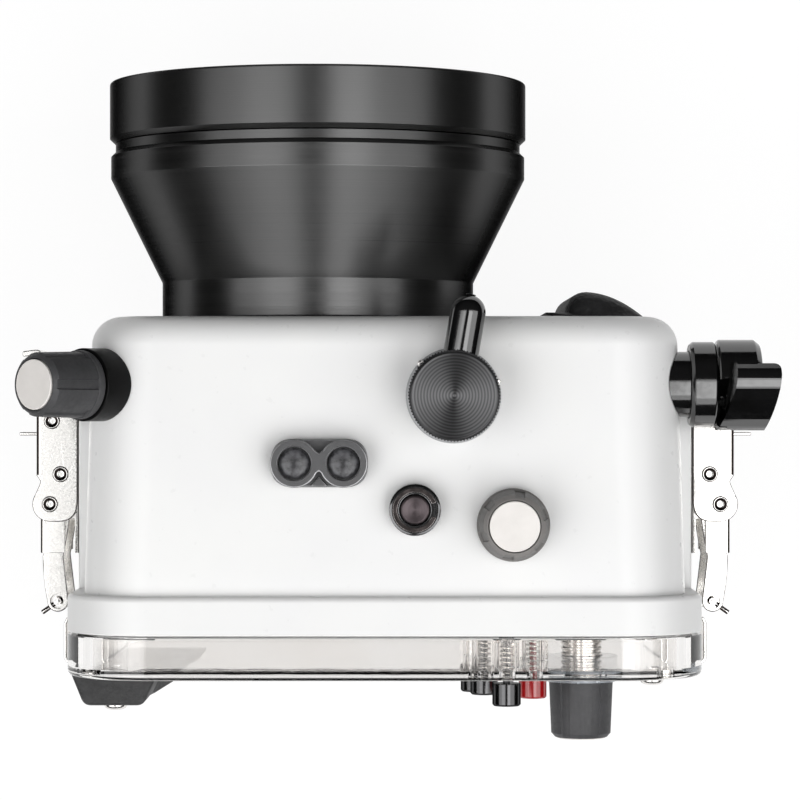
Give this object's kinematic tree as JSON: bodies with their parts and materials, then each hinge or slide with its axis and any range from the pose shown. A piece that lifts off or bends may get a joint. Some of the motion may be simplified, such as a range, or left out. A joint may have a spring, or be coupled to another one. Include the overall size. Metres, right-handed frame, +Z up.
{
  "type": "underwater camera housing",
  "caption": "Moulded camera housing for diving with a long turned port, a clear back door held by draw latches, and sealed knobs, levers and push buttons.",
  "frame": {"origin": "centre of the flat base pad under the housing, on the surface that it stands on", "axes": "+Z up, +Y forward along the port, +X to the viewer's right"},
  "size_m": [0.217, 0.1917, 0.1446],
  "materials": {
    "shell_white_abs": "glossy injection moulding",
    "black_anodised_aluminium": "satin black anodised, turned",
    "black_gloss_acetal": "polished",
    "knob_black_nylon": "fine moulded texture",
    "knob_pale_insert": "satin",
    "stainless_steel": "polished stamped sheet",
    "black_rubber": "matt, fine grain",
    "red_anodised_aluminium": "bright red anodised",
    "brass_insert": "turned",
    "clear_acrylic": "clear, polished",
    "port_glass": "coated flat glass"
  },
  "bodies": {
    "housing": {"housing_body": "shell_white_abs", "door_seal": "black_rubber", "port_barrel": "black_anodised_aluminium", "port_front_ring": "black_anodised_aluminium", "port_window": "port_glass", "port_seal": "black_rubber", "tripod_insert": "brass_insert", "camera_tray": "black_anodised_aluminium", "front_grip": "black_rubber", "fibre_socket_block": "black_anodised_aluminium", "fibre_window_left": "clear_acrylic", "fibre_window_right": "clear_acrylic", "left_control_gland": "black_gloss_acetal", "shutter_gland": "black_gloss_acetal", "lever_gland": "black_anodised_aluminium", "lever_stop_pin_left": "stainless_steel", "lever_stop_pin_right": "stainless_steel", "top_button_guard": "black_anodised_aluminium", "top_button_clip": "stainless_steel", "mode_dial_gland": "black_anodised_aluminium", "latch_base_left": "stainless_steel", "latch_base_right": "stainless_steel"},
    "camera_screw": {"camera_screw": "stainless_steel"},
    "left_control": {"left_control_shaft": "stainless_steel", "left_knob": "knob_black_nylon", "left_knob_cap": "knob_pale_insert"},
    "shutter_control": {"shutter_collar": "black_gloss_acetal", "shutter_trigger": "black_gloss_acetal", "shutter_arm": "stainless_steel"},
    "top_lever": {"lever_arm": "black_gloss_acetal", "lever_disc": "black_anodised_aluminium", "lever_shaft": "stainless_steel"},
    "top_button": {"top_button": "black_anodised_aluminium"},
    "mode_dial": {"mode_dial": "knob_black_nylon", "mode_dial_cap": "knob_pale_insert", "mode_dial_wheel": "black_rubber"},
    "latch_lever_left": {"latch_lever_left": "stainless_steel"},
    "latch_link_left": {"latch_link_left": "stainless_steel"},
    "latch_lock_left": {"latch_lock_left": "stainless_steel"},
    "latch_lever_right": {"latch_lever_right": "stainless_steel"},
    "latch_link_right": {"latch_link_right": "stainless_steel"},
    "latch_lock_right": {"latch_lock_right": "stainless_steel"},
    "back_door": {"back_door": "clear_acrylic", "latch_keeper_left": "stainless_steel", "latch_keeper_right": "stainless_steel", "thumb_rest": "black_rubber", "thumb_rest_screw": "stainless_steel", "back_door_screw": "stainless_steel", "rear_knob_gland": "stainless_steel", "back_button_spring_1": "stainless_steel", "back_button_spring_2": "stainless_steel", "back_button_spring_3": "stainless_steel", "back_button_spring_4": "stainless_steel"},
    "back_button_1": {"back_button_1": "black_anodised_aluminium"},
    "back_button_2": {"back_button_2": "black_anodised_aluminium"},
    "back_button_3": {"back_button_3": "black_anodised_aluminium"},
    "back_button_4": {"back_button_4": "red_anodised_aluminium"},
    "rear_control": {"rear_knob": "knob_black_nylon", "rear_knob_cap": "knob_pale_insert", "rear_knob_shaft": "stainless_steel"}
  },
  "joints": [
    {"name": "door_off", "type": "slide", "parent": "housing", "child": "back_door", "axis": [0, -1, 0], "range_m": [0, 0.09]},
    {"name": "back_button_1_press", "type": "slide", "parent": "back_door", "child": "back_button_1", "axis": [0, 1, 0], "range_m": [0, 0.002], "stiffness_N_per_m": 250, "springref_m": -0.002, "deforming": ["back_button_spring_1"]},
    {"name": "back_button_2_press", "type": "slide", "parent": "back_door", "child": "back_button_2", "axis": [0, 1, 0], "range_m": [0, 0.002], "stiffness_N_per_m": 250, "springref_m": -0.002, "deforming": ["back_button_spring_2"]},
    {"name": "back_button_3_press", "type": "slide", "parent": "back_door", "child": "back_button_3", "axis": [0, 1, 0], "range_m": [0, 0.002], "stiffness_N_per_m": 250, "springref_m": -0.002, "deforming": ["back_button_spring_3"]},
    {"name": "back_button_4_press", "type": "slide", "parent": "back_door", "child": "back_button_4", "axis": [0, 1, 0], "range_m": [0, 0.002], "stiffness_N_per_m": 250, "springref_m": -0.002, "deforming": ["back_button_spring_4"]},
    {"name": "rear_knob_turn", "type": "hinge", "parent": "back_door", "child": "rear_control", "pos_m": [0.0575, -0.07, 0.066], "axis": [0, -1, 0], "continuous": true},
    {"name": "camera_screw_turn", "type": "hinge", "parent": "housing", "child": "camera_screw", "pos_m": [0, 0.004, 0.014], "axis": [0, 0, 1], "continuous": true},
    {"name": "left_knob_turn", "type": "hinge", "parent": "housing", "child": "left_control", "pos_m": [-0.0771, 0.0242, 0.1182], "axis": [-0.6428, 0, 0.766], "continuous": true},
    {"name": "shutter_pull", "type": "hinge", "parent": "housing", "child": "shutter_control", "pos_m": [0.089, 0.0243, 0.1086], "axis": [1, 0, 0], "range_deg": [0, 22], "stiffness_Nm_per_rad": 0.15, "springref_deg": -11.46},
    {"name": "top_lever_turn", "type": "hinge", "parent": "housing", "child": "top_lever", "pos_m": [0.01895, 0.0212, 0.13], "axis": [0, 0, 1], "range_deg": [-34, 27]},
    {"name": "top_button_press", "type": "slide", "parent": "housing", "child": "top_button", "axis": [0, 0, -1], "range_m": [0, 0.003], "stiffness_N_per_m": 250, "springref_m": -0.002},
    {"name": "mode_dial_turn", "type": "hinge", "parent": "housing", "child": "mode_dial", "pos_m": [0.03535, -0.0142, 0.13], "axis": [0, 0, 1], "continuous": true},
    {"name": "latch_open_left", "type": "hinge", "parent": "housing", "child": "latch_lever_left", "pos_m": [-0.0972, -0.0102, 0.066], "axis": [0, 0, 1], "range_deg": [0, 90]},
    {"name": "latch_link_swing_left", "type": "hinge", "parent": "latch_lever_left", "child": "latch_link_left", "pos_m": [-0.0941, -0.0015, 0.066], "axis": [0, 0, 1], "range_deg": [-90, 0]},
    {"name": "latch_lock_press_left", "type": "hinge", "parent": "latch_lever_left", "child": "latch_lock_left", "pos_m": [-0.0966, 0.0139, 0.066], "axis": [0, 0, 1], "range_deg": [0, 12], "stiffness_Nm_per_rad": 0.02, "springref_deg": -11.46},
    {"name": "latch_open_right", "type": "hinge", "parent": "housing", "child": "latch_lever_right", "pos_m": [0.0972, -0.0102, 0.066], "axis": [0, 0, -1], "range_deg": [0, 90]},
    {"name": "latch_link_swing_right", "type": "hinge", "parent": "latch_lever_right", "child": "latch_link_right", "pos_m": [0.0941, -0.0015, 0.066], "axis": [0, 0, -1], "range_deg": [-90, 0]},
    {"name": "latch_lock_press_right", "type": "hinge", "parent": "latch_lever_right", "child": "latch_lock_right", "pos_m": [0.0966, 0.0139, 0.066], "axis": [0, 0, -1], "range_deg": [0, 12], "stiffness_Nm_per_rad": 0.02, "springref_deg": -11.46}
  ],
  "couplings": [
    {"joint": "latch_link_swing_left", "follows": "latch_open_left", "ratio": -1},
    {"joint": "latch_link_swing_right", "follows": "latch_open_right", "ratio": -1}
  ]
}
